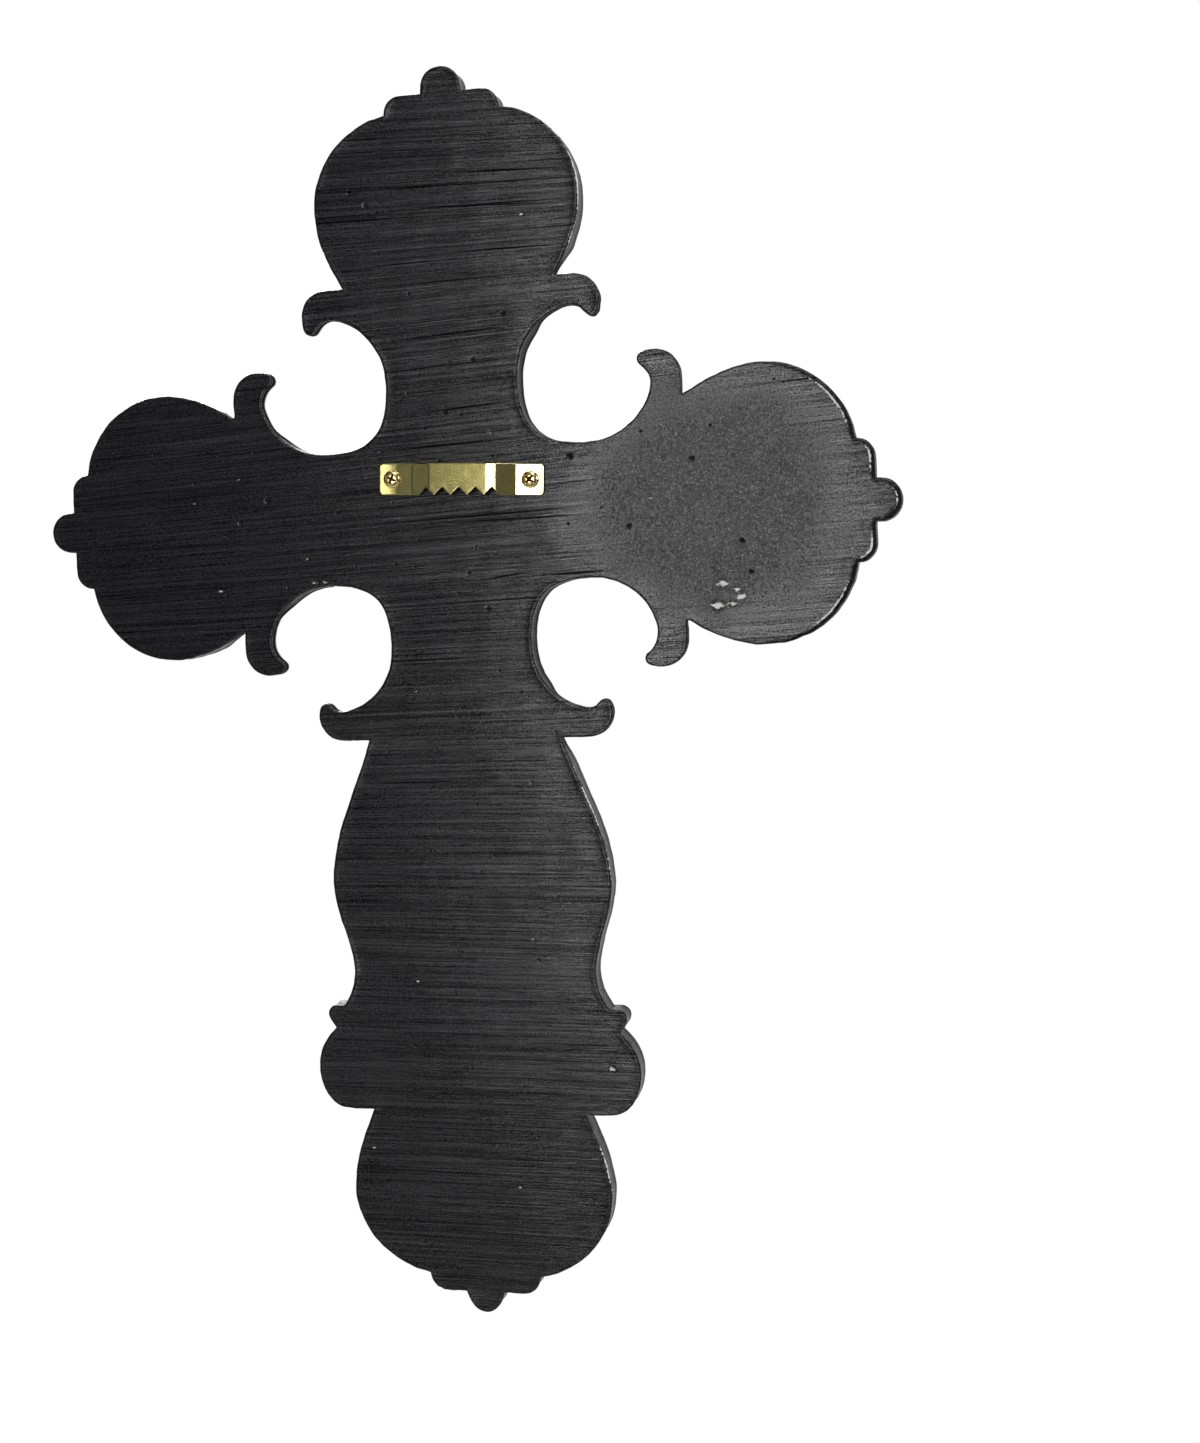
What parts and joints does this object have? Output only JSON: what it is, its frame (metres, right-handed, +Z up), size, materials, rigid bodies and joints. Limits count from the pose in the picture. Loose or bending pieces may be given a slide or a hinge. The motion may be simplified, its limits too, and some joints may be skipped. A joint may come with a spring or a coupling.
{
  "type": "wall cross",
  "caption": "Ornamental wall cross with flared lobes, hooked C-scroll openings and a belled shaft, cast in black-painted resin, hung from a sawtooth strip screwed to its flat back.",
  "frame": {"origin": "where the nail sits: the top of the hanger's middle notch, in the plane of the bridge's outer face, which is the wall's plane", "axes": "+Z up along the shaft, +Y out of the flat back into the wall, so that the carved front faces -Y; +X completes the frame"},
  "size_m": [0.218, 0.0158, 0.311],
  "materials": {
    "painted_resin": "satin charcoal-black paint, sanded in fine parallel scratches on the flat back, with bubble pits and white chips of bare filler",
    "hanger_brass": "bright brass-plated steel strip, lightly tarnished at its edges",
    "screw_brass": "brass-plated pan heads, dull in the cross recess"
  },
  "bodies": {
    "root": {"cross": "painted_resin", "sawtooth_hanger": "hanger_brass", "left_screw": "screw_brass", "right_screw": "screw_brass"}
  },
  "joints": []
}
